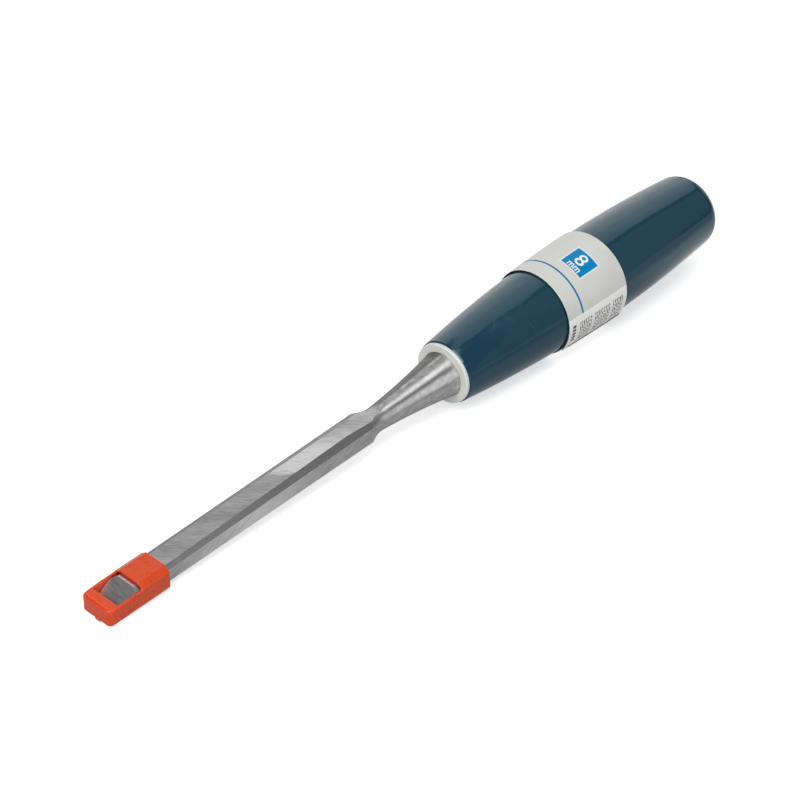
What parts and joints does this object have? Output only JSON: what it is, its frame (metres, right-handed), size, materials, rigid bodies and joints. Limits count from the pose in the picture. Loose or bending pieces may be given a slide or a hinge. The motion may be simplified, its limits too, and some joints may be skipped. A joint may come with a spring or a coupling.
{
  "type": "wood chisel",
  "caption": "Bevel-edge wood chisel with a lacquered barrel handle, pale plastic ferrule, forged steel blade, paper label band and a push-on plastic guard over the cutting edge.",
  "frame": {"origin": "centre of the flat striking face on the butt of the handle", "axes": "+X out of the butt along the tool axis, so the cutting edge is towards -X; +Z from the flat back to the bevelled face"},
  "size_m": [0.2262, 0.0262, 0.0261],
  "materials": {
    "lacquered_wood": "glossy dark petrol blue lacquer over turned wood",
    "ferrule_plastic": "satin off-white moulding",
    "ground_steel": "ground, with coarse diagonal wheel marks on the flats",
    "label_paper": "smooth printed band, light warm grey",
    "guard_plastic": "soft glossy orange-red moulding"
  },
  "bodies": {
    "chisel": {"handle": "lacquered_wood", "ferrule": "ferrule_plastic", "blade": "ground_steel", "label": "label_paper"},
    "guard": {"blade_guard": "guard_plastic"}
  },
  "joints": [
    {"name": "guard_slide", "type": "slide", "parent": "chisel", "child": "guard", "axis": [-1, 0, 0], "range_m": [0, 0.03]}
  ]
}
